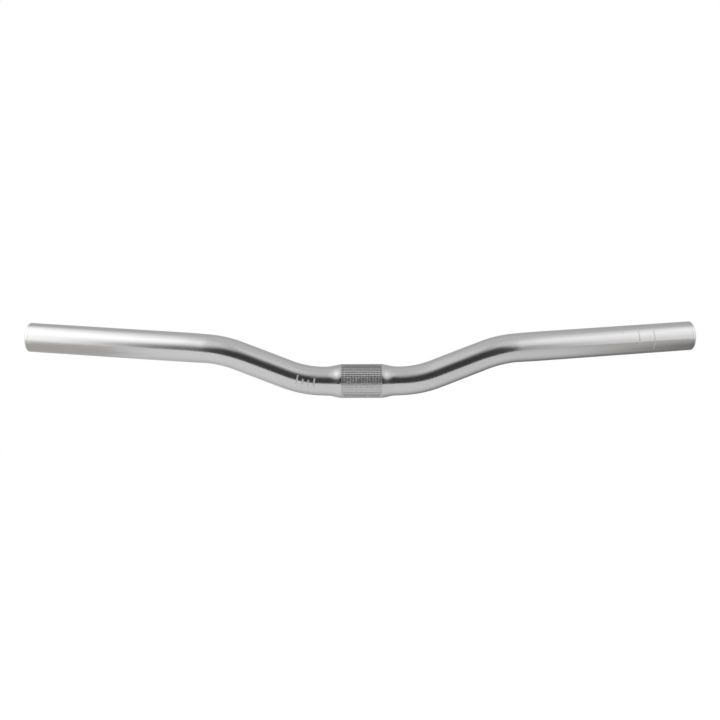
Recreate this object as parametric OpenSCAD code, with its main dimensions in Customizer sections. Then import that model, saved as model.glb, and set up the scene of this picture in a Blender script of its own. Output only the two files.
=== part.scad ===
// Riser handlebar: one aluminium tube, swaged wider for the stem clamp, knurled there,
// bent up on each side and bent out again into two swept-back grip ends.
// The bar runs along X, rises towards +Z and sweeps back towards +Y.
// The origin is the middle of the stem clamp.

/* [Tube] */
// Outer diameter of the tube, where grips and levers go
tube_d = 22.2; // [20:0.1:23.5]
// Wall of the tube
wall = 2; // [1.2:0.1:3]
// Width of the whole bar, over both ends
bar_w = 510; // [460:1:640]
// Rounding of the outer edge at each end
rim_r = 0.8; // [0.2:0.1:1]
// Bevel of the inner edge at each end
bevel = 0.4; // [0.1:0.1:0.8]

/* [Stem clamp] */
// Diameter of the clamp, over the knurl
clamp_d = 25.4; // [24:0.1:28.6]
// Length of the knurled clamp
clamp_len = 30; // [24:1:40]
// Length of each taper from the clamp down to the tube
taper_len = 11.5; // [8:0.5:20]
// Plain straight tube between each taper and its bend
plain_len = 0.5; // [0.5:0.5:20]

/* [Knurl] */
// Number of flutes round the clamp
flutes = 50; // [36:1:64]
// Depth of each flute
flute_depth = 0.3; // [0.1:0.05:0.5]
// Width of each flute at the surface
flute_w = 0.8; // [0.5:0.05:1]
// Plain land left at each end of the flutes
land = 0.25; // [0.1:0.05:1]

/* [Bends] */
// Angle at which each side rises
rise_angle = 21; // [12:0.5:30]
// Radius of the lower bends, at the middle of the tube
lower_bend_r = 80; // [60:1:110]
// Straight tube between the lower and the upper bend
rise_len = 38; // [10:1:80]
// Radius of the upper bends, at the middle of the tube
upper_bend_r = 75; // [60:1:110]
// Angle at which the grips still rise
upsweep = 4; // [0:0.5:8]
// Angle at which the grips sweep back
backsweep = 11; // [0:0.5:16]
// Thinning of the tube where it is bent, on its diameter
bend_thinning = 0.04; // [0.02:0.01:0.2]

/* [Hidden] */
$fn = 96;
tube_r = tube_d / 2;
bore_r = tube_r - wall;
clamp_r = clamp_d / 2;
clamp_bore_r = clamp_r - wall;
swage = clamp_r - tube_r;
straight_half = clamp_len / 2 + taper_len + plain_len;

// Radius and angle of the two equal arcs that make each taper
taper_arc_r = (taper_len * taper_len + swage * swage) / (4 * swage);
taper_angle = asin(taper_len / 2 / taper_arc_r);
// Points along each arc of a taper, and along the rounding of a rim
taper_steps = 10;
rim_steps = 6;

// Direction of the right grip, and its parts along and above the rising tube
grip_dir = [cos(upsweep) * cos(backsweep), cos(upsweep) * sin(backsweep), sin(upsweep)];
grip_ahead = grip_dir.x * cos(rise_angle) + grip_dir.z * sin(rise_angle);
grip_above = grip_dir.z * cos(rise_angle) - grip_dir.x * sin(rise_angle);
upper_angle = acos(grip_ahead);
upper_turn = atan2(-grip_dir.y, grip_above);

// How far the right side reaches along X before its grip starts
lower_reach = straight_half + lower_bend_r * sin(rise_angle) + rise_len * cos(rise_angle);
upper_ahead = upper_bend_r * sin(upper_angle);
upper_above = upper_bend_r * (1 - cos(upper_angle)) * cos(upper_turn);
upper_reach = upper_ahead * cos(rise_angle) - upper_above * sin(rise_angle);

// The end face leans with the grip, so its edge reaches further along X than its middle
lean = sqrt(1 - grip_dir.x * grip_dir.x);
edge_reach = (tube_r - rim_r) * lean + rim_r * (1 - grip_dir.x);
grip_len = (bar_w / 2 - edge_reach - lower_reach - upper_reach) / grip_dir.x;

// Room by which a cutting shape passes the surface that it cuts
over = 1;
// Length by which a bend runs on into the straight tube at each end
run_in = 0.4;

// Points on an arc round a centre, both ends included
function arc_points(centre, r, from, to, steps) = [
  for (i = [0 : steps])
    let (angle = from + (to - from) * i / steps)
      centre + r * [cos(angle), sin(angle)]
];

// Outline of one taper as radius by length, from the clamp down to the tube
function taper_points(wide_r, narrow_r) =
  let (
    wide_centre = [wide_r - taper_arc_r, clamp_len / 2],
    narrow_centre = [narrow_r + taper_arc_r, clamp_len / 2 + taper_len],
    next_angle = 180 + taper_angle * (1 - 1 / taper_steps)
  )
  concat(
    arc_points(wide_centre, taper_arc_r, 0, taper_angle, taper_steps),
    arc_points(narrow_centre, taper_arc_r, next_angle, 180, taper_steps - 1)
  );

// Mirror image of an outline across the middle of the bar, run the other way
function mirrored(points) = [for (i = [len(points) - 1 : -1 : 0]) [points[i].x, -points[i].y]];

// Turns an outline of radius by length about X
module turned(points) {
  rotate([0, 90, 0])
    rotate_extrude()
      polygon(points);
}

// Straight middle of the bar, wider at the clamp
module middle(wide_r, narrow_r) {
  side = concat(taper_points(wide_r, narrow_r), [[narrow_r, straight_half], [0, straight_half]]);
  turned(concat(mirrored(side), side));
}

// Round bar along X
module rod(length, r) {
  rotate([0, 90, 0])
    cylinder(h = length, r = r);
}

// Bend that starts at the origin along X and turns towards Z
module bend(bend_r, angle, r) {
  run_angle = run_in / bend_r * 180 / PI;
  translate([0, 0, bend_r])
    rotate([90, 90, 0])
      rotate_extrude(angle = angle + 2 * run_angle, start = -run_angle)
        translate([bend_r, 0])
          circle(r = r - bend_thinning / 2);
}

// Moves its children past such a bend
module past_bend(bend_r, angle) {
  translate([0, 0, bend_r])
    rotate([0, -angle, 0])
      translate([0, 0, -bend_r])
        children();
}

// Right side of the tube from the middle to the start of the grip, with the grip as its child
module right_side(r) {
  translate([straight_half, 0, 0]) {
    bend(lower_bend_r, rise_angle, r);
    past_bend(lower_bend_r, rise_angle) {
      rod(rise_len, r);
      translate([rise_len, 0, 0])
        rotate([upper_turn, 0, 0]) {
          bend(upper_bend_r, upper_angle, r);
          past_bend(upper_bend_r, upper_angle)
            children();
        }
    }
  }
}

// Both sides of the tube, the left one as a mirror image
module both_sides(r) {
  right_side(r) children();
  mirror([1, 0, 0]) right_side(r) children();
}

// Straight grip end with a rounded rim
module grip() {
  rim_points = arc_points([tube_r - rim_r, grip_len - rim_r], rim_r, 0, 90, rim_steps);
  turned(concat([[0, 0], [tube_r, 0]], rim_points, [[0, grip_len]]));
}

// Bore of a grip end, which widens gently from the bend's bore and is opened by a bevel
module grip_bore() {
  turned([
    [0, 0],
    [bore_r - bend_thinning, 0],
    [bore_r, run_in / 2],
    [bore_r, grip_len - bevel],
    [bore_r + bevel + over, grip_len + over],
    [0, grip_len + over]
  ]);
}

// Flutes of the knurl, as cuts along the clamp, with a ridge at the very top
module knurl_cuts() {
  pitch = 360 / flutes;
  cut_len = clamp_len - 2 * land;
  cut_h = flute_depth + over;
  cut_half = flute_w / 2 * cut_h / flute_depth;
  for (i = [0 : flutes - 1])
    rotate([pitch * (i + 1 / 2), 0, 0])
      translate([-cut_len / 2, 0, clamp_r - flute_depth])
        rotate([90, 0, 90])
          linear_extrude(height = cut_len)
            polygon([[0, 0], [cut_half, cut_h], [-cut_half, cut_h]]);
}

module handlebar() {
  color("silver")
    difference() {
      union() {
        middle(clamp_r, tube_r);
        both_sides(tube_r) grip();
      }
      union() {
        middle(clamp_bore_r, bore_r);
        both_sides(bore_r) grip_bore();
      }
      knurl_cuts();
    }
}

handlebar();
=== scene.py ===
"""Looks of a riser handlebar: one bent and knurled aluminium tube in a plain pale studio.

Sizes are in millimetres, as in the construction model, unless a name ends in _m for metres.
The bar runs along X, rises towards +Z and sweeps back towards +Y. The camera stands at -Y.
"""

from __future__ import annotations

import logging
import math
from dataclasses import dataclass, field, replace
from enum import Enum
from typing import Any, Iterable, Sequence

import bpy
import numpy as np
from mathutils import Matrix, Vector


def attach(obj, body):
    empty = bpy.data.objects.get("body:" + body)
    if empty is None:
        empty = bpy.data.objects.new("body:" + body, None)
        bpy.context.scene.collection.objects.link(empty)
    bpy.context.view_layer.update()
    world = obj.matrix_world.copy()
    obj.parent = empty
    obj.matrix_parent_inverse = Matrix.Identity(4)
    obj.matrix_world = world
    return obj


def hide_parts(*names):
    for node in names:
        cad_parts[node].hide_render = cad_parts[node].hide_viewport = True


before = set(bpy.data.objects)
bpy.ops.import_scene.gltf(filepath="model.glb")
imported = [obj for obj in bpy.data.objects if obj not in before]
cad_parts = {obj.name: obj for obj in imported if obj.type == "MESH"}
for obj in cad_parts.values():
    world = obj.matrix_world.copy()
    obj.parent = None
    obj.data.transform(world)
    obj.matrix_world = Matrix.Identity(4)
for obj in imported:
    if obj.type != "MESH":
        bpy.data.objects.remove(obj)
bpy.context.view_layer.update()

log = logging.getLogger("handlebar")

MM = 0.001
DEGREES = math.degrees(1.0)
ROUND_OFF = 1e-9
NODE = "handlebar"
BODY = "root"
PIECE = "Handlebar_tube"
UNROLLED = "unrolled"
SUNK = "sunk"

Pair = tuple[float, float]
Triple = tuple[float, float, float]
Colour = tuple[float, float, float, float]


def smooth_step(low: float, high: float, value: float) -> float:
    """Share from 0 to 1 that rises smoothly as the value goes from low to high."""
    share = min(max((value - low) / (high - low), 0.0), 1.0)
    return share * share * (3 - 2 * share)


def even_steps(start: float, end: float, step: float) -> list[float]:
    """Places from start up to, but not at, end, no further apart than step."""
    count = max(1, math.ceil((end - start) / step - ROUND_OFF))
    return [start + (end - start) * i / count for i in range(count)]


class Wire:
    """One output socket of a shader graph, so that shader maths reads as Python."""

    def __init__(self, graph: Graph, socket: bpy.types.NodeSocket) -> None:
        """Keeps the graph and the socket."""
        self.graph = graph
        self.socket = socket

    def __add__(self, other: Wire | float) -> Wire:
        """Sum of two values."""
        return self.graph.maths("ADD", self, other)

    def __radd__(self, other: float) -> Wire:
        """Sum with a plain number in front."""
        return self.graph.maths("ADD", other, self)

    def __sub__(self, other: Wire | float) -> Wire:
        """Difference of two values."""
        return self.graph.maths("SUBTRACT", self, other)

    def __rsub__(self, other: float) -> Wire:
        """Difference from a plain number."""
        return self.graph.maths("SUBTRACT", other, self)

    def __mul__(self, other: Wire | float) -> Wire:
        """Product of two values."""
        return self.graph.maths("MULTIPLY", self, other)

    def __rmul__(self, other: float) -> Wire:
        """Product with a plain number in front."""
        return self.graph.maths("MULTIPLY", other, self)

    def __truediv__(self, other: Wire | float) -> Wire:
        """Quotient of two values."""
        return self.graph.maths("DIVIDE", self, other)

    def __rtruediv__(self, other: float) -> Wire:
        """Quotient with a plain number in front."""
        return self.graph.maths("DIVIDE", other, self)

    def size(self) -> Wire:
        """The value without its sign."""
        return self.graph.maths("ABSOLUTE", self)

    def most(self, other: Wire | float) -> Wire:
        """The larger of two values."""
        return self.graph.maths("MAXIMUM", self, other)

    def least(self, other: Wire | float) -> Wire:
        """The smaller of two values."""
        return self.graph.maths("MINIMUM", self, other)

    def ramp(self, low: float, high: float) -> Wire:
        """Smooth rise from 0 where the value is low to 1 where it is high.

        Args:
            low: The value at which the rise starts.
            high: The value at which it ends; it may be the smaller of the two.

        Returns:
            The share from 0 to 1.
        """
        return self.graph.output(
            "ShaderNodeMapRange",
            {"interpolation_type": "SMOOTHSTEP"},
            {"Value": self, "From Min": low, "From Max": high},
            "Result",
        )

    def part(self, axis: str) -> Wire:
        """One part, X, Y or Z, of a vector."""
        return self.graph.output("ShaderNodeSeparateXYZ", {}, {"Vector": self}, axis)

    def scaled(self, x: float, y: float, z: float) -> Wire:
        """A vector multiplied part by part."""
        kind, settings = "ShaderNodeVectorMath", {"operation": "MULTIPLY"}
        return self.graph.output(kind, settings, {0: self, 1: (x, y, z)}, "Vector")


class Graph:
    """A node tree that is filled from Python expressions."""

    def __init__(self, tree: bpy.types.NodeTree) -> None:
        """Empties the tree and keeps it."""
        self.tree = tree
        tree.nodes.clear()

    def node(self, kind: str, settings: dict[str, Any], inputs: dict[Any, Any]) -> bpy.types.Node:
        """Adds one node.

        Args:
            kind: The node's type.
            settings: Its settings, which are set before anything is linked.
            inputs: A value or a link for each socket, by name or number.

        Returns:
            The node.
        """
        made = self.tree.nodes.new(kind)
        for name, value in settings.items():
            setattr(made, name, value)
        for name, value in inputs.items():
            if isinstance(value, Wire):
                self.tree.links.new(value.socket, made.inputs[name])
            else:
                made.inputs[name].default_value = value
        return made

    def output(
        self, kind: str, settings: dict[str, Any], inputs: dict[Any, Any], name: str | int
    ) -> Wire:
        """Adds one node and wraps one of its outputs, by name or number."""
        return Wire(self, self.node(kind, settings, inputs).outputs[name])

    def maths(self, operation: str, *values: Wire | float) -> Wire:
        """Adds a Math node and wraps its result."""
        inputs = dict(enumerate(values))
        return self.output("ShaderNodeMath", {"operation": operation}, inputs, "Value")

    def blend(self, share: Wire | float, first: Any, second: Any) -> Wire:
        """Mixes two colours: a share of 0 gives the first and 1 the second."""
        inputs = {0: share, 6: first, 7: second}
        return self.output("ShaderNodeMix", {"data_type": "RGBA"}, inputs, 2)

    def noise(self, place: Wire, scale: float, detail: float) -> Wire:
        """Smooth noise from about 0 to 1, with some finer layers of detail."""
        inputs = {"Vector": place, "Scale": scale, "Detail": detail}
        return self.output("ShaderNodeTexNoise", {}, inputs, "Fac")

    def attribute(self, name: str, output: str) -> Wire:
        """Reads what the mesh stores at each of its points, as Vector or Fac."""
        return self.output("ShaderNodeAttribute", {"attribute_name": name}, {}, output)

    def bump(self, height: Wire, strength: float, distance_m: float) -> Wire:
        """Turns a height from 0 to 1 into a normal, with its real height in metres."""
        inputs = {"Height": height, "Strength": strength, "Distance": distance_m}
        return self.output("ShaderNodeBump", {}, inputs, "Normal")

    def mixed(self, share: Wire | float, first: Wire, second: Wire) -> Wire:
        """Mixes two shaders: a share of 0 gives the first and 1 the second."""
        return self.output("ShaderNodeMixShader", {}, {0: share, 1: first, 2: second}, 0)

    def tinted(self, colour: Wire, level: Wire) -> Wire:
        """A colour multiplied by a level."""
        settings = {"data_type": "RGBA", "blend_type": "MULTIPLY"}
        return self.output("ShaderNodeMix", settings, {0: 1.0, 6: colour, 7: level}, 2)

    def glow(self, colour: Wire | Colour, strength: float) -> Wire:
        """Light of a colour and strength."""
        return self.output("ShaderNodeEmission", {}, {"Color": colour, "Strength": strength}, 0)

    def surface(self, shader: Wire) -> None:
        """Ends a material's graph in a shader."""
        self.node("ShaderNodeOutputMaterial", {}, {"Surface": shader})

    def metal(self, colour: Wire, roughness: Wire, normal: Wire) -> None:
        """Ends a material's graph in bare metal.

        Args:
            colour: Its colour.
            roughness: Its roughness.
            normal: Its relief, as a normal.
        """
        inputs = {"Base Color": colour, "Metallic": 1.0, "Roughness": roughness, "Normal": normal}
        self.surface(self.output("ShaderNodeBsdfPrincipled", {}, inputs, "BSDF"))

    def seen(self) -> Wire:
        """1 for a ray of the camera, of a reflection or through glass, else 0."""
        path = self.node("ShaderNodeLightPath", {}, {})
        names = ("Is Camera Ray", "Is Glossy Ray", "Is Transmission Ray")
        camera, glossy, through = (Wire(self, path.outputs[name]) for name in names)
        return camera.most(glossy).most(through)


def grey(level: float) -> Colour:
    """A neutral colour of that level."""
    return (level, level, level, 1.0)


def new_material(name: str) -> tuple[bpy.types.Material, Graph]:
    """Makes a material with an empty graph.

    Args:
        name: The material's name.

    Returns:
        The material and its graph.
    """
    material = bpy.data.materials.new(name)
    material.use_nodes = True
    return material, Graph(material.node_tree)


class Zone(Enum):
    """The differently finished parts of the bar, in the order of its material slots."""

    TUBE = 0
    KNURL = 1
    END = 2
    BORE = 3


@dataclass(frozen=True)
class Etching:
    """Marks etched into the finish: a scale for turning the bar and guides for cutting it.

    Places are in millimetres along the bar from its middle, heights in millimetres round the
    front of the tube above its middle line.
    """

    soft: float = 0.12
    scale_w: float = 1.3
    scale: tuple[Triple, ...] = (
        (-47.6, -5.4, 1.8),
        (-43.4, -5.4, 0.0),
        (-39.2, -5.4, 0.0),
        (-35.0, -5.4, 1.8),
    )
    guide_w: float = 1.1
    guides: tuple[Triple, ...] = (
        (201.0, 4.5, 10.5),
        (213.9, -4.5, 9.5),
        (226.0, -11.0, 9.5),
    )
    dash: float = 1.7
    dash_edge: Pair = (0.15, 0.3)
    front_edge: Pair = (-0.5, 0.5)

    def line(self, along: Wire, across: Wire, width: float, mark: Triple) -> Wire:
        """1 on one line that runs round the tube.

        Args:
            along: Distance along the bar from its middle.
            across: Height round the tube above its middle line.
            width: The line's width.
            mark: The line's place, lower end and upper end.

        Returns:
            The mask.
        """
        place, low, high = mark
        half_w, half_h = width / 2, (high - low) / 2
        wide = (along - place).size().ramp(half_w + self.soft, half_w - self.soft)
        tall = (across - (low + high) / 2).size().ramp(half_h + self.soft, half_h - self.soft)
        return wide * tall

    def mask(self, graph: Graph, along: Wire, across: Wire, front: Wire) -> Wire:
        """1 on the marks and 0 beside them.

        Args:
            graph: The finish's graph.
            along: Distance along the bar from its middle.
            across: Height round the front of the tube above its middle line.
            front: How far the surface faces the front, in millimetres.

        Returns:
            The mask.
        """
        total = self.line(along, across, self.guide_w, self.guides[0])
        for mark in self.guides[1:]:
            total = total.most(self.line(along, across, self.guide_w, mark))
        share = graph.maths("PINGPONG", across, self.dash / 2) / (self.dash / 2)
        total = total * share.ramp(*self.dash_edge)
        for mark in self.scale:
            total = total.most(self.line(along, across, self.scale_w, mark))
        return total * front.ramp(*self.front_edge)


@dataclass(frozen=True)
class PolishedTube:
    """Polished and clear anodised tube with fine lines round it and a faint haze.

    The scale of a noise is given per millimetre, along the bar first and then across it.
    """

    end_reach: float
    tube_r: float = 11.1
    colour: float = 0.57
    colour_span: float = 0.5
    roughness: float = 0.19
    haze: float = 0.05
    ring_haze: float = 0.06
    etched_colour: float = 0.6
    etched_roughness: float = 0.55
    highlight_band_w: float = 2.3
    highlight_band_soft: float = 0.4
    painted_highlight_tone: float = 0.07
    shade_line_half: Pair = (0.45, 0.15)
    painted_shade_tone: float = 0.2
    cloud_scale: float = 0.035
    cloud_tone: float = 0.07
    drawn_scale: Triple = (0.02, 1.6, 1.6)
    drawn_tone: float = 0.03
    ring_scale: Triple = (2.6, 0.05, 0.05)
    ring_share: float = 0.6
    relief: float = 0.35
    relief_m: float = 2e-6
    etching: Etching = field(default_factory=Etching)

    def tone(self, along: Wire, cloud: Wire, drawn: Wire) -> Wire:
        """How bright the metal is, round 1, with painted highlight and shade at each end.

        Args:
            along: Distance along the bar from its middle.
            cloud: Broad noise.
            drawn: Noise in lines along the bar.

        Returns:
            The factor.
        """
        from_end = self.end_reach - along.size()
        # Painted highlight in a band at each end, and a painted shade line just inside it.
        painted_highlight = from_end.ramp(self.highlight_band_w, self.highlight_band_w - self.highlight_band_soft)
        painted_shade_line = (from_end - self.highlight_band_w).size().ramp(*self.shade_line_half)
        tone = 1.0 + (cloud - 0.5) * self.cloud_tone + (drawn - 0.5) * self.drawn_tone
        return tone + painted_highlight * self.painted_highlight_tone - painted_shade_line * self.painted_shade_tone

    def make(self) -> bpy.types.Material:
        """Builds the material."""
        material, graph = new_material("Polished_anodised_tube")
        place = graph.attribute(UNROLLED, "Vector")
        along, depth, height = (place.part(axis) for axis in "XYZ")
        cloud = graph.noise(place, self.cloud_scale, 3.0)
        rings = graph.noise(place.scaled(*self.ring_scale), 1.0, 3.0)
        drawn = graph.noise(place.scaled(*self.drawn_scale), 1.0, 2.0)
        low, high = 1 - self.colour_span, 1 + self.colour_span
        share = (self.tone(along, cloud, drawn) - low) / (high - low)
        plain = graph.blend(share, grey(self.colour * low), grey(self.colour * high))
        across = graph.maths("ARCTAN2", height, depth) * self.tube_r
        marks = self.etching.mask(graph, along, across, depth)
        rough = self.roughness + (cloud - 0.5) * self.haze + (rings - 0.5) * self.ring_haze
        rough = rough + marks * (self.etched_roughness - self.roughness)
        relief = rings * self.ring_share + drawn * (1 - self.ring_share)
        colour = graph.blend(marks, plain, grey(self.etched_colour))
        graph.metal(colour, rough, graph.bump(relief, self.relief, self.relief_m))
        return material


@dataclass(frozen=True)
class KnurledBand:
    """Rolled knurl under the stem clamp: duller, painted shade in its flutes and upper half."""

    upper_ridge_painted_shade: float = 0.42
    lower_ridge: float = 0.55
    upper_flute_painted_shade: float = 0.12
    lower_flute_painted_shade: float = 0.48
    painted_shade_upper_from: Pair = (0.0, 5.0)
    roughness: float = 0.31
    flute_roughness: float = 0.08
    grain_scale: float = 1.4
    grain_haze: float = 0.14
    patch_scale: Triple = (0.3, 0.45, 0.45)
    patch_share: float = 0.5
    relief: float = 0.4
    relief_m: float = 8e-6

    def make(self) -> bpy.types.Material:
        """Builds the material."""
        material, graph = new_material("Knurled_clamp_band")
        place = graph.attribute(UNROLLED, "Vector")
        sunk = graph.attribute(SUNK, "Fac")
        grain = graph.noise(place, self.grain_scale, 4.0)
        patch = graph.noise(place.scaled(*self.patch_scale), 1.0, 2.0)
        # Painted shade: the flutes are darker than the ridges, and both are darker on the upper
        # half.
        share = (sunk + (patch - 0.5) * self.patch_share).most(0.0).least(1.0)
        up = place.part("Z").ramp(*self.painted_shade_upper_from)
        flute_painted_shade = graph.blend(up, grey(self.lower_flute_painted_shade), grey(self.upper_flute_painted_shade))
        ridge_painted_shade = graph.blend(up, grey(self.lower_ridge), grey(self.upper_ridge_painted_shade))
        rough = self.roughness + (grain - 0.5) * self.grain_haze + sunk * self.flute_roughness
        normal = graph.bump(grain, self.relief, self.relief_m)
        graph.metal(graph.blend(share, ridge_painted_shade, flute_painted_shade), rough, normal)
        return material


@dataclass(frozen=True)
class FacedEnd:
    """End of the tube, faced on a lathe and bevelled, with fine rings left by the tool."""

    dark: float = 0.533
    light: float = 0.694
    roughness: float = 0.27
    ring_pitch: float = 0.16
    ring_share: float = 0.5
    grain_scale: float = 0.9
    grain_haze: float = 0.12
    relief: float = 0.35
    relief_m: float = 1e-5

    def make(self) -> bpy.types.Material:
        """Builds the material."""
        material, graph = new_material("Faced_tube_end")
        place = graph.attribute(UNROLLED, "Vector")
        depth, height = place.part("Y"), place.part("Z")
        radius = graph.maths("SQRT", depth * depth + height * height)
        rings = graph.maths("SINE", radius * (2 * math.pi / self.ring_pitch))
        grain = graph.noise(place, self.grain_scale, 3.0)
        tone = graph.blend(grain, grey(self.dark), grey(self.light))
        rough = self.roughness + (grain - 0.5) * self.grain_haze
        relief = rings * self.ring_share + grain
        graph.metal(tone, rough, graph.bump(relief, self.relief, self.relief_m))
        return material


@dataclass(frozen=True)
class DrawnBore:
    """Inside of the tube, left as drawn: dull, with lines along it."""

    dark: float = 0.512
    light: float = 0.736
    roughness: float = 0.38
    cloud_haze: float = 0.16
    line_scale: Triple = (0.03, 2.2, 2.2)
    line_share: float = 0.6
    cloud_scale: float = 0.12
    relief: float = 0.5
    relief_m: float = 2e-5

    def make(self) -> bpy.types.Material:
        """Builds the material."""
        material, graph = new_material("Drawn_tube_bore")
        place = graph.attribute(UNROLLED, "Vector")
        lines = graph.noise(place.scaled(*self.line_scale), 1.0, 4.0)
        cloud = graph.noise(place, self.cloud_scale, 3.0)
        share = lines * self.line_share + cloud * (1 - self.line_share)
        tone = graph.blend(share, grey(self.dark), grey(self.light))
        rough = self.roughness + (cloud - 0.5) * self.cloud_haze
        graph.metal(tone, rough, graph.bump(lines, self.relief, self.relief_m))
        return material


@dataclass(frozen=True)
class Station:
    """One place on the middle line of the bar, with the directions of the tube there."""

    middle: np.ndarray
    front: np.ndarray
    top: np.ndarray
    bend_way: np.ndarray


@dataclass(frozen=True)
class BarLine:
    """The middle line of the right half of the bar, from the clamp to the end."""

    bar_w: float = 510.0
    tube_d: float = 22.2
    rim_r: float = 0.8
    straight_half: float = 27.0
    rise_angle: float = math.radians(21)
    lower_bend_r: float = 80.0
    rise_len: float = 38.0
    upper_bend_r: float = 75.0
    upsweep: float = math.radians(4)
    backsweep: float = math.radians(11)

    @property
    def grip_way(self) -> np.ndarray:
        """Direction of the right grip."""
        flat = math.cos(self.upsweep)
        across, back = flat * math.cos(self.backsweep), flat * math.sin(self.backsweep)
        return np.array([across, back, math.sin(self.upsweep)])

    @property
    def rise_way(self) -> np.ndarray:
        """Direction of the straight that rises between the two bends."""
        return np.array([math.cos(self.rise_angle), 0.0, math.sin(self.rise_angle)])

    @property
    def upper_angle(self) -> float:
        """How far the upper bend turns."""
        return math.acos(float(self.grip_way @ self.rise_way))

    @property
    def upper_way(self) -> np.ndarray:
        """Direction, square to the rising straight, towards which the upper bend turns."""
        way = self.grip_way - (self.grip_way @ self.rise_way) * self.rise_way
        return way / np.linalg.norm(way)

    @property
    def grip_len(self) -> float:
        """Length of a straight grip end, such that the whole bar has its width."""
        lean = math.sqrt(1 - self.grip_way[0] ** 2)
        edge = (self.tube_d / 2 - self.rim_r) * lean + self.rim_r * (1 - self.grip_way[0])
        return float((self.bar_w / 2 - edge - self.grip_start[0]) / self.grip_way[0])

    @property
    def rise_start(self) -> np.ndarray:
        """Where the rising straight starts."""
        drop = self.lower_bend_r * (1 - math.cos(self.rise_angle))
        ahead = self.straight_half + self.lower_bend_r * math.sin(self.rise_angle)
        return np.array([ahead, 0.0, drop])

    @property
    def grip_start(self) -> np.ndarray:
        """Where the grip end starts."""
        bend_start = self.rise_start + self.rise_len * self.rise_way
        ahead = self.upper_bend_r * math.sin(self.upper_angle) * self.rise_way
        aside = self.upper_bend_r * (1 - math.cos(self.upper_angle)) * self.upper_way
        return bend_start + ahead + aside

    def knots(self) -> list[float]:
        """Lengths along the line at which one stretch ends and the next starts."""
        stretches = [
            self.straight_half,
            self.lower_bend_r * self.rise_angle,
            self.rise_len,
            self.upper_bend_r * self.upper_angle,
            self.grip_len,
        ]
        return [float(x) for x in np.cumsum([0.0, *stretches])]

    def at(self, reach: float) -> Station:
        """Follows the line.

        Args:
            reach: Length along the line from the middle of the clamp.

        Returns:
            The place and its directions.
        """
        knots = self.knots()
        side, up, front = np.eye(3)[0], np.eye(3)[2], -np.eye(3)[1]
        if reach <= knots[1]:
            return Station(side * reach, front, up, up)
        if reach <= knots[2]:
            turn = (reach - knots[1]) / self.lower_bend_r
            top = math.cos(turn) * up - math.sin(turn) * side
            middle = self.straight_half * side + self.lower_bend_r * (
                math.sin(turn) * side + (1 - math.cos(turn)) * up
            )
            return Station(middle, front, top, top)
        rise = self.rise_way
        rise_top = math.cos(self.rise_angle) * up - math.sin(self.rise_angle) * side
        if reach <= knots[3]:
            middle = self.rise_start + (reach - knots[2]) * rise
            return Station(middle, front, rise_top, self.upper_way)
        turn = min((reach - knots[3]) / self.upper_bend_r, self.upper_angle)
        way = self.upper_way
        ahead = math.cos(turn) * rise + math.sin(turn) * way
        turned_way = math.cos(turn) * way - math.sin(turn) * rise
        bend_start = self.rise_start + self.rise_len * rise
        middle = bend_start + self.upper_bend_r * (
            math.sin(turn) * rise + (1 - math.cos(turn)) * way
        )
        middle = middle + max(reach - knots[4], 0.0) * ahead
        new_front = front + (front @ way) * (turned_way - way)
        new_top = rise_top + (rise_top @ way) * (turned_way - way)
        return Station(middle, new_front, new_top, turned_way)


@dataclass(frozen=True)
class Drawing:
    """How the tube thins as it is swaged and bent: flatter in the plane of each bend."""

    beside_clamp: float = 0.028
    rise: float = 0.024
    upper_bend: float = 0.036
    spread: float = 0.35
    clamp_start: float = 20.0
    clamp_end: float = 29.0
    lead: float = 8.0
    run_out: float = 10.0
    grip_run_out: float = 16.0
    before: float = 6.0

    def upright(self, reach: float, knots: Sequence[float]) -> float:
        """Share by which the tube is thinner upright.

        Args:
            reach: Length along the line from the middle of the clamp.
            knots: The line's knots.

        Returns:
            The share.
        """
        start = smooth_step(self.clamp_start, self.clamp_end, reach)
        settle = smooth_step(knots[2] - self.lead, knots[2] + self.lead, reach)
        end = 1 - smooth_step(knots[3] - self.before, knots[3] + self.run_out, reach)
        return start * end * (self.beside_clamp + (self.rise - self.beside_clamp) * settle)

    def in_bend(self, reach: float, knots: Sequence[float]) -> float:
        """Share by which the tube is thinner in the plane of the upper bend.

        Args:
            reach: Length along the line from the middle of the clamp.
            knots: The line's knots.

        Returns:
            The share.
        """
        start = smooth_step(knots[3] - self.lead, knots[3] + self.lead, reach)
        end = 1 - smooth_step(knots[4] - self.before, knots[4] + self.grip_run_out, reach)
        return start * end * self.upper_bend


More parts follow.
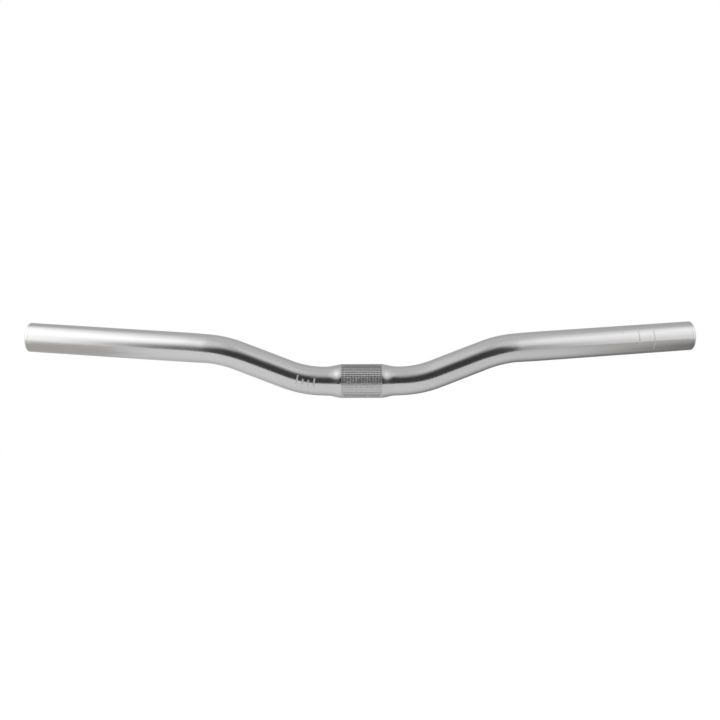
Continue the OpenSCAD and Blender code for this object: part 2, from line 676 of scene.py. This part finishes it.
@dataclass(frozen=True)
class SwagedClamp:
    """The wider middle of the tube with its knurl."""

    clamp_d: float = 25.4
    tube_d: float = 22.2
    shoulder_from: float = 14.6
    shoulder_to: float = 25.2
    shoulder_bias: float = 0.8
    knurl_half: float = 15.1
    fade: float = 1.0
    flutes: int = 50
    flute_depth: float = 0.3
    line_pitch: float = 2.1
    lines: int = 13
    line_depth: float = 0.07
    line_half: float = 0.26
    line_share: float = 0.7
    flat_half: float = 0.1
    wobble: float = 0.035
    profile: tuple[float, ...] = (0.0, 0.0, 0.0, 0.0, 0.0, 1.0, 1.0, 0.0)

    @property
    def around(self) -> int:
        """Points round the knurl."""
        return self.flutes * len(self.profile)

    def swage(self, place: float) -> float:
        """How much wider the tube is than its plain part, on the radius.

        Args:
            place: Length along the bar from its middle.

        Returns:
            The extra radius.
        """
        start, end = self.shoulder_from, self.shoulder_to
        share = min(max((abs(place) - start) / (end - start), 0.0), 1.0)
        turn = math.pi * share**self.shoulder_bias
        return (self.clamp_d - self.tube_d) / 4 * (1 + math.cos(turn))

    def line_places(self) -> list[float]:
        """Places of the fine lines round the knurl."""
        middle = (self.lines - 1) / 2
        return [(i - middle) * self.line_pitch for i in range(self.lines)]

    def ring_places(self) -> list[float]:
        """Places of the mesh rings along the knurl, on both sides of the middle."""
        places: list[float] = []
        for line in self.line_places():
            places += [line + x for x in (-self.line_half, -self.flat_half)]
            places += [line + x for x in (self.flat_half, self.line_half)]
        edge = self.knurl_half
        return [-edge, -edge + self.fade, *places, edge - self.fade, edge]

    def cuts(self, place: float, rng: np.random.Generator) -> tuple[np.ndarray, np.ndarray]:
        """Depth of the knurl round one ring.

        Args:
            place: Length along the bar from its middle.
            rng: Seeded source of the small unevenness of a rolled knurl.

        Returns:
            The depth at each point of the ring, and how far down in a flute it lies.
        """
        steps = len(self.profile)
        top = self.around // 4
        sunk = np.array([self.profile[(j - top + 1) % steps] for j in range(self.around)])
        room = self.flute_depth - (self.clamp_d - self.tube_d) / 2 + self.swage(place)
        fade = 1 - smooth_step(self.knurl_half - self.fade, self.knurl_half, abs(place))
        ridges = np.repeat(rng.random(self.flutes), steps) * self.wobble * (1 - sunk)
        depth = (sunk * max(room, 0.0) + ridges) * fade
        near = min(abs(place - line) for line in self.line_places())
        if near < self.line_half * self.line_share:
            depth = depth + self.line_depth * fade
        return depth, sunk * fade


@dataclass(frozen=True)
class Ring:
    """One closed ring of mesh points, with the finish of the band that follows it."""

    points: np.ndarray
    unrolled: np.ndarray
    sunk: np.ndarray
    zone: Zone


@dataclass(frozen=True)
class Handlebar:
    """The whole bar: outer skin, rounded rims, faced ends and bore, as one closed mesh."""

    line: BarLine = field(default_factory=BarLine)
    clamp: SwagedClamp = field(default_factory=SwagedClamp)
    drawing: Drawing = field(default_factory=Drawing)
    wall: float = 2.0
    inset: float = 0.02
    rim_r: float = 0.8
    rim_steps: int = 8
    bevel: float = 0.4
    shoulder_step: float = 0.8
    bend_step: float = 1.1
    straight_step: float = 2.5
    grip_step: float = 6.0
    grip_start_len: float = 18.0
    bore_step: float = 2.5
    bore_long_step: float = 7.5
    skin_around: int = 200
    bore_around: int = 100
    seed: int = 7
    sharp_angle: float = math.radians(28)

    @property
    def tube_r(self) -> float:
        """Outer radius of the plain tube, a hair inside the construction model."""
        return self.line.tube_d / 2 - self.inset

    def ring(
        self,
        place: float,
        radius: float | np.ndarray,
        around: int,
        zone: Zone,
        sunk: np.ndarray | None = None,
    ) -> Ring:
        """Makes one ring of points round the middle line.

        Args:
            place: Length along the bar from its middle; the left side is negative.
            radius: Radius of the ring, or of each of its points.
            around: How many points it has.
            zone: The finish of the band that follows it.
            sunk: How far down in a flute each point lies.

        Returns:
            The ring.
        """
        knots = self.line.knots()
        reach = abs(place)
        station = self.line.at(reach)
        turn = np.arange(around) * (2 * math.pi / around)
        out = np.outer(np.cos(turn), station.front) + np.outer(np.sin(turn), station.top)
        round_part = out * np.reshape(radius, (-1, 1))
        flattened = round_part.copy()
        for way, share in (
            (station.top, self.drawing.upright(reach, knots)),
            (station.bend_way, self.drawing.in_bend(reach, knots)),
        ):
            inward = np.outer(flattened @ way, way) * share
            wider = (round_part - np.outer(round_part @ way, way)) * share * self.drawing.spread
            flattened = flattened - inward + wider
        points = station.middle + flattened
        if place < 0:
            points = points * (-1, 1, 1)
        size = np.broadcast_to(np.reshape(radius, -1), (around,))
        unrolled = np.stack([np.full(around, place), size * np.cos(turn), size * np.sin(turn)], 1)
        return Ring(points, unrolled, np.zeros(around) if sunk is None else sunk, zone)

    def side_places(self) -> list[float]:
        """Places of the skin's rings on the right side, from the knurl to the rim."""
        knots, start = self.line.knots(), self.clamp.knurl_half
        rim = knots[5] - self.rim_r
        return [
            *even_steps(start, self.clamp.shoulder_to, self.shoulder_step)[1:],
            *even_steps(self.clamp.shoulder_to, knots[2], self.bend_step),
            *even_steps(knots[2], knots[3], self.straight_step),
            *even_steps(knots[3], knots[4], self.bend_step),
            *even_steps(knots[4], knots[4] + self.grip_start_len, self.straight_step),
            *even_steps(knots[4] + self.grip_start_len, rim, self.grip_step),
        ]

    def skin(self, place: float) -> Ring:
        """One plain ring of the outer skin."""
        radius = self.tube_r + self.clamp.swage(place)
        return self.ring(place, radius, self.skin_around, Zone.TUBE)

    def rim(self, side: int) -> list[Ring]:
        """Rounded rim of one end, from the skin to the end face.

        Args:
            side: 1 for the right end and -1 for the left one.

        Returns:
            The rings in that order.
        """
        rings, end = [], self.line.knots()[5]
        for i in range(self.rim_steps + 1):
            turn = math.pi / 2 * i / self.rim_steps
            place = side * (end - self.rim_r * (1 - math.sin(turn)))
            radius = self.tube_r - self.rim_r * (1 - math.cos(turn))
            rings.append(self.ring(place, radius, self.skin_around, Zone.TUBE))
        return rings

    def face(self, side: int) -> list[Ring]:
        """End face with its bevel, from the rim inwards.

        Args:
            side: 1 for the right end and -1 for the left one.

        Returns:
            The rings in that order.
        """
        end, bore = self.line.knots()[5], self.tube_r - self.wall
        middle = (self.tube_r - self.rim_r + bore + self.bevel) / 2
        return [
            self.ring(side * end, middle, self.skin_around, Zone.END),
            self.ring(side * end, bore + self.bevel, self.skin_around, Zone.END),
            self.ring(side * (end - self.bevel), bore, self.bore_around, Zone.BORE),
        ]

    def knurl(self) -> list[Ring]:
        """The knurled middle, from left to right."""
        rng = np.random.default_rng(self.seed)
        rings = []
        for place in self.clamp.ring_places():
            depth, sunk = self.clamp.cuts(place, rng)
            radius = self.tube_r + self.clamp.swage(place) - depth
            rings.append(self.ring(place, radius, self.clamp.around, Zone.KNURL, sunk))
        return rings

    def bore_places(self) -> list[float]:
        """Places of the bore's rings from the right end to the left one."""
        knots = self.line.knots()
        reach = [
            *even_steps(0.0, self.clamp.shoulder_to, self.bore_step),
            *even_steps(self.clamp.shoulder_to, knots[2], self.bore_step),
            *even_steps(knots[2], knots[3], self.bore_long_step),
            *even_steps(knots[3], knots[4], self.bore_step),
            *even_steps(knots[4], knots[5] - self.bevel, self.bore_long_step),
        ]
        return [*reversed(reach), *(-x for x in reach[1:])]

    def rings(self) -> list[Ring]:
        """All rings in one closed round: skin to the right, bore back to the left."""
        right = self.side_places()
        left_rim, left_face = self.rim(-1)[::-1], self.face(-1)[::-1]
        bore_r = self.tube_r - self.wall
        bore = [
            self.ring(place, bore_r + self.clamp.swage(place), self.bore_around, Zone.BORE)
            for place in self.bore_places()
        ]
        left_face = [replace(ring, zone=Zone.END) for ring in left_face]
        right_rim, knurl = self.rim(1), self.knurl()
        right_rim[-1] = replace(right_rim[-1], zone=Zone.END)
        knurl[-1] = replace(knurl[-1], zone=Zone.TUBE)
        return [
            *left_rim,
            *(self.skin(-place) for place in reversed(right)),
            *knurl,
            *(self.skin(place) for place in right),
            *right_rim,
            *self.face(1),
            *bore,
            *left_face,
        ]

    @staticmethod
    def band(first: int, count: int, other: int, other_count: int) -> Iterable[tuple[int, ...]]:
        """Faces between two rings of the same or of half or double the number of points.

        Args:
            first: Number of the first ring's first point.
            count: Points of the first ring.
            other: Number of the next ring's first point.
            other_count: Points of the next ring.

        Yields:
            The corners of each face, turned outwards.
        """
        def a(i: int) -> int:
            """Point of the first ring."""
            return first + i % count

        def b(i: int) -> int:
            """Point of the next ring."""
            return other + i % other_count

        if count == other_count:
            for i in range(count):
                yield a(i), b(i), b(i + 1), a(i + 1)
        elif count == 2 * other_count:
            for i in range(other_count):
                yield a(2 * i), b(i), a(2 * i + 1)
                yield a(2 * i + 1), b(i), b(i + 1)
                yield a(2 * i + 1), b(i + 1), a(2 * i + 2)
        else:
            for i in range(count):
                yield a(i), b(2 * i), b(2 * i + 1)
                yield a(i), b(2 * i + 1), a(i + 1)
                yield a(i + 1), b(2 * i + 1), b(2 * i + 2)

    def build(self) -> bpy.types.Object:
        """Builds and dresses the bar.

        Returns:
            The finished piece.
        """
        rings = self.rings()
        starts = np.cumsum([0, *(len(ring.points) for ring in rings)])
        faces: list[tuple[int, ...]] = []
        zones: list[int] = []
        for i, ring in enumerate(rings):
            j = (i + 1) % len(rings)
            here, there = (int(starts[i]), len(ring.points)), (int(starts[j]), len(rings[j].points))
            made = list(self.band(*here, *there))
            faces += made
            zones += [ring.zone.value] * len(made)
        mesh = bpy.data.meshes.new(PIECE)
        points = np.concatenate([ring.points for ring in rings]) * MM
        mesh.from_pydata(points.tolist(), [], faces)
        unrolled = mesh.attributes.new(UNROLLED, "FLOAT_VECTOR", "POINT")
        flat = np.concatenate([ring.unrolled for ring in rings]).astype(np.float32)
        unrolled.data.foreach_set("vector", flat.ravel())
        sunk = mesh.attributes.new(SUNK, "FLOAT", "POINT")
        sunk.data.foreach_set("value", np.concatenate([r.sunk for r in rings]).astype(np.float32))
        tube = PolishedTube(end_reach=self.line.knots()[5])
        for finish in (tube, KnurledBand(), FacedEnd(), DrawnBore()):
            mesh.materials.append(finish.make())
        mesh.polygons.foreach_set("material_index", np.array(zones, np.int32))
        mesh.shade_smooth()
        mesh.set_sharp_from_angle(angle=self.sharp_angle)
        mesh.update()
        piece = bpy.data.objects.new(PIECE, mesh)
        bpy.context.scene.collection.objects.link(piece)
        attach(piece, BODY)
        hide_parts(NODE)
        return piece


def reflected_only(piece: bpy.types.Object) -> None:
    """Leaves a thing of the studio to reflections: no camera, no light on the floor, no shadow."""
    for rays in ("camera", "diffuse", "shadow", "transmission", "volume_scatter"):
        setattr(piece, f"visible_{rays}", False)


def stage_mesh(
    name: str, points: Sequence[Any], faces: Sequence[Any], material: bpy.types.Material
) -> bpy.types.Object:
    """Makes a thing of the studio.

    Args:
        name: Its name.
        points: Its points in metres.
        faces: Its faces.
        material: What it is made of.

    Returns:
        The thing.
    """
    mesh = bpy.data.meshes.new(name)
    mesh.from_pydata(points, [], faces)
    mesh.materials.append(material)
    made = bpy.data.objects.new(name, mesh)
    bpy.context.scene.collection.objects.link(made)
    return made


@dataclass(frozen=True)
class TallLight:
    """A tall soft light beside the camera, with a brighter rim low on its inner edge."""

    side: int
    level: float
    rise: float
    most: float
    rim: float
    lean: float
    lean_to: float
    edge: Pair
    back: Pair
    top: Pair
    rim_side: Pair = (44.5, 41.0)
    rim_top: Pair = (14.0, -4.0)

    def over(self, graph: Graph, room: Wire, x: Wire, z: Wire, turn: Wire, height: Wire) -> Wire:
        """Lays the light over the room.

        Args:
            graph: The graph of the surround.
            room: The level without the light.
            x: How far a direction points to the right.
            z: How far it points up.
            turn: Its azimuth in degrees.
            height: Its height in degrees.

        Returns:
            The level with the light.
        """
        out = turn * self.side
        lift = graph.maths("ARCTAN2", z, x * self.side) * DEGREES
        mask = (self.lean * height.least(self.lean_to) + out).ramp(*self.edge)
        mask = mask * out.ramp(*self.back) * lift.ramp(*self.top)
        bright = (self.level + self.rise * z).least(self.most)
        bright = bright + self.rim * (out.ramp(*self.rim_side) * height.ramp(*self.rim_top))
        return room + (bright - room) * mask


@dataclass(frozen=True)
class Surround:
    """The studio round the bar as its polish shows it.

    A tall soft light stands on each side, with a dark gap between them behind the camera and a
    grey ceiling above. Azimuth is counted in degrees to the right of the camera as seen from the
    bar, height in degrees above the bar, and a level of 1 is white.
    """

    radius_m: float = 1.9
    columns: int = 64
    rows: int = 32
    ceiling: float = 0.76
    behind: float = 0.6
    behind_from_y: Pair = (-0.1, 0.3)
    behind_height: Pair = (79.0, 44.0)
    low_behind: float = 0.25
    low_height: Pair = (20.0, -10.0)
    glow: float = 0.15
    glow_near: Pair = (3.0, 13.0)
    glow_far: Pair = (38.0, 26.0)
    glow_bottom: Pair = (28.0, 42.0)
    glow_top: Pair = (74.0, 62.0)
    gap: float = 0.05
    gap_flat: float = 12.0
    gap_top: Pair = (18.0, 42.0)
    gap_right: float = 4.0
    gap_right_from: Pair = (2.0, 8.0)
    gap_right_to: Pair = (24.0, 14.0)
    tongue: float = 0.93
    tongue_top: Pair = (13.0, 62.0)
    tongue_side: Pair = (4.5, 1.5)
    lights: tuple[TallLight, ...] = (
        TallLight(
            side=-1, level=1.6, rise=0.45, most=1.85, rim=0.35, lean=0.17, lean_to=28.0,
            edge=(34.2, 39.8), back=(140.0, 80.0), top=(80.0, 52.0),
        ),
        TallLight(
            side=1, level=1.17, rise=0.5, most=1.47, rim=0.0, lean=0.1, lean_to=20.0,
            edge=(29.0, 38.0), back=(100.0, 60.0), top=(76.0, 49.0),
        ),
    )

    def room(self, turn: Wire, height: Wire, y: Wire) -> Wire:
        """The ceiling, the room behind the bar and the dark gap, without the two lights.

        Args:
            turn: Azimuth in degrees.
            height: Height in degrees.
            y: How far a direction points to the back.

        Returns:
            The level.
        """
        far, rear = turn.size(), y.ramp(*self.behind_from_y)
        back = rear * height.ramp(*self.behind_height)
        above = self.ceiling - back * (self.ceiling - self.behind)
        above = above - rear * height.ramp(*self.low_height) * self.low_behind
        beside = far.ramp(*self.glow_near) * far.ramp(*self.glow_far)
        band = height.ramp(*self.glow_bottom) * height.ramp(*self.glow_top)
        above = above + self.glow * (beside * band)
        right = turn.ramp(*self.gap_right_from) * turn.ramp(*self.gap_right_to)
        leaning = height + (far - self.gap_flat).most(0.0) - self.gap_right * right
        wide = leaning.ramp(*self.gap_top)
        narrow = height.ramp(*self.tongue_top) * self.tongue
        opened = wide + (narrow - wide) * far.ramp(*self.tongue_side)
        return self.gap + (above - self.gap) * opened

    def level(self, graph: Graph) -> Wire:
        """How bright the surround is in each direction.

        Args:
            graph: The graph of its material.

        Returns:
            The level.
        """
        place = graph.output("ShaderNodeTexCoord", {}, {}, "Object")
        settings = {"operation": "NORMALIZE"}
        way = graph.output("ShaderNodeVectorMath", settings, {0: place}, "Vector")
        x, y, z = (way.part(axis) for axis in "XYZ")
        turn = graph.maths("ARCTAN2", x, 0.0 - y) * DEGREES
        height = graph.maths("ARCSINE", z) * DEGREES
        total = self.room(turn, height, y)
        for light in self.lights:
            total = light.over(graph, total, x, z, turn, height)
        return total

    def build(self) -> None:
        """Sets the surround up as one ball round the bar."""
        material, graph = new_material("Studio_surround")
        graph.surface(graph.glow(self.level(graph), 1.0))
        points = [(0.0, 0.0, self.radius_m), (0.0, 0.0, -self.radius_m)]
        for i in range(1, self.rows):
            lift = math.pi / 2 - math.pi * i / self.rows
            flat, height = self.radius_m * math.cos(lift), self.radius_m * math.sin(lift)
            for j in range(self.columns):
                turn = 2 * math.pi * j / self.columns
                points.append((flat * math.cos(turn), flat * math.sin(turn), height))
        faces: list[tuple[int, ...]] = []
        last = 2 + (self.rows - 2) * self.columns
        for j in range(self.columns):
            k = (j + 1) % self.columns
            faces += [(0, 2 + j, 2 + k), (1, last + k, last + j)]
            for a in range(2, last, self.columns):
                b = a + self.columns
                faces.append((a + j, b + j, b + k, a + k))
        reflected_only(stage_mesh("Studio_surround", points, faces, material))


@dataclass(frozen=True)
class Table:
    """The pale sheet under the bar and the darker table on each side of it, for reflections."""

    z_m: float = -0.2995
    half_x_m: float = 0.8
    front_m: tuple[Pair, ...] = (
        (-0.8, -0.62), (-0.55, -0.68), (-0.3, -0.77), (0.06, -0.82), (0.12, -0.7), (0.8, -0.78)
    )
    back_m: float = 1.2
    warm: Colour = (1.0, 0.965, 0.93, 1.0)
    sheet: float = 0.92
    sheet_fall: float = 0.2
    shade: float = 0.5
    shade_from_y: Pair = (-0.08, 0.38)
    shade_middle: float = 0.95
    shade_fall: float = 1.6
    shade_least: float = 0.35
    shade_most: float = 1.2
    left_slope: float = 0.43
    left_edge: Pair = (0.3, 0.33)
    left_table: float = 0.6
    left_rise: float = 0.42
    left_rise_from: Pair = (0.49, 0.68)
    right_slope: float = 0.35
    right_edge: Pair = (0.28, 0.44)
    right_table: float = 0.28
    right_rise: float = 0.95
    right_rise_to: float = 0.32

    def build(self) -> None:
        """Lays the table out."""
        material, graph = new_material("Table_card")
        place = graph.output("ShaderNodeTexCoord", {}, {}, "Object")
        x, y = place.part("X"), place.part("Y")
        ahead = (0.0 - y).most(0.0)
        depth = (self.shade_middle + self.shade_fall * x).most(self.shade_least)
        shade = self.shade * y.ramp(*self.shade_from_y) * depth.least(self.shade_most)
        sheet = self.sheet - self.sheet_fall * x - shade
        left = (0.0 - x - self.left_slope * ahead).ramp(*self.left_edge)
        right = (x - self.right_slope * ahead).ramp(*self.right_edge)
        left_level = self.left_table + self.left_rise * (0.0 - x).ramp(*self.left_rise_from)
        right_level = self.right_table + self.right_rise * ahead.least(self.right_rise_to)
        level = sheet + (left_level - sheet) * left
        level = level + (right_level - level) * right
        warmth = graph.blend(left.most(right), grey(1.0), self.warm)
        graph.surface(graph.glow(graph.tinted(warmth, level), 1.0))
        across = [*self.front_m, (self.half_x_m, self.back_m), (-self.half_x_m, self.back_m)]
        corners = [(x, y, self.z_m) for x, y in across]
        reflected_only(stage_mesh("Table_card", corners, [tuple(range(len(corners)))], material))


@dataclass(frozen=True)
class Studio:
    """Pale floor, white world and one soft lamp, with the surround and the table."""

    floor_z_m: float = -0.3
    floor_front_m: float = -0.6
    floor_back_m: float = 5.0
    floor_half_m: float = 4.0
    floor_colour: float = 0.92
    floor_glow: float = 1.085
    floor_glow_share: float = 0.7
    room_light: float = 0.85
    lamp_place_m: Triple = (-0.25, -0.3, 1.4)
    lamp_size_m: float = 1.2
    lamp_watts: float = 3.5

    def world(self) -> None:
        """White to the camera and to reflections, and a soft even light on the floor."""
        world = bpy.data.worlds.new("Pale_studio")
        world.use_nodes = True
        bpy.context.scene.world = world
        graph = Graph(world.node_tree)
        even, white = (
            graph.output("ShaderNodeBackground", {}, {"Color": grey(1.0), "Strength": level}, 0)
            for level in (self.room_light, 1.0)
        )
        graph.node("ShaderNodeOutputWorld", {}, {"Surface": graph.mixed(graph.seen(), even, white)})

    def floor(self) -> None:
        """Pale floor that keeps the bar's soft shadow."""
        material, graph = new_material("Pale_floor")
        lit = graph.output("ShaderNodeBsdfDiffuse", {}, {"Color": grey(self.floor_colour)}, 0)
        white = graph.glow(grey(1.0), self.floor_glow)
        graph.surface(graph.mixed(graph.seen() * self.floor_glow_share, lit, white))
        half, z = self.floor_half_m, self.floor_z_m
        front, back = self.floor_front_m, self.floor_back_m
        corners = [(-half, front, z), (half, front, z), (half, back, z), (-half, back, z)]
        stage_mesh("Floor", corners, [(0, 1, 2, 3)], material)

    def lamp(self) -> None:
        """One soft lamp from above for the shadow on the floor."""
        light = bpy.data.lights.new("Overhead_lamp", "AREA")
        light.shape, light.size, light.energy = "SQUARE", self.lamp_size_m, self.lamp_watts
        lamp = bpy.data.objects.new("Overhead_lamp", light)
        lamp.location = self.lamp_place_m
        aim = -Vector(self.lamp_place_m)
        lamp.rotation_euler = aim.to_track_quat("-Z", "Y").to_euler()
        lamp.visible_glossy = False
        lamp.visible_camera = False
        bpy.context.scene.collection.objects.link(lamp)

    def build(self) -> None:
        """Sets up the whole studio."""
        self.world()
        self.floor()
        Table().build()
        Surround().build()
        self.lamp()


@dataclass(frozen=True)
class Camera:
    """The photograph's viewpoint."""

    distance_m: float = 1.0
    azimuth: float = -0.67
    elevation: float = -0.3
    roll: float = -0.17
    aim_m: Triple = (-0.00108, 0.0, 0.01567)
    lens: float = 67.15
    sensor_w: float = 36.0

    def build(self) -> None:
        """Sets the camera up."""
        turn, lift = math.radians(self.azimuth), math.radians(self.elevation)
        place = self.distance_m * Vector(
            (math.sin(turn) * math.cos(lift), -math.cos(turn) * math.cos(lift), math.sin(lift))
        )
        ahead = (Vector(self.aim_m) - place).normalized()
        level = ahead.cross(Vector((0, 0, 1))).normalized()
        top = level.cross(ahead)
        tilt = math.radians(self.roll)
        side = level * math.cos(tilt) + top * math.sin(tilt)
        top = side.cross(ahead)
        data = bpy.data.cameras.new("Camera")
        data.lens, data.sensor_width = self.lens, self.sensor_w
        camera = bpy.data.objects.new("Camera", data)
        turned = Matrix((side, top, -ahead)).transposed().to_4x4()
        camera.matrix_world = Matrix.Translation(place) @ turned
        bpy.context.scene.collection.objects.link(camera)
        bpy.context.scene.camera = camera


def main() -> None:
    """Builds the camera, the studio and the bar, and logs the bar's points and faces."""
    logging.basicConfig(level=logging.INFO, format="%(name)s: %(message)s")
    bpy.context.scene.view_settings.view_transform = "Standard"
    Camera().build()
    Studio().build()
    piece = Handlebar().build()
    points, faces = len(piece.data.vertices), len(piece.data.polygons)
    log.info("%s: %d points, %d faces", piece.name, points, faces)


if __name__ == "__main__":
    main()
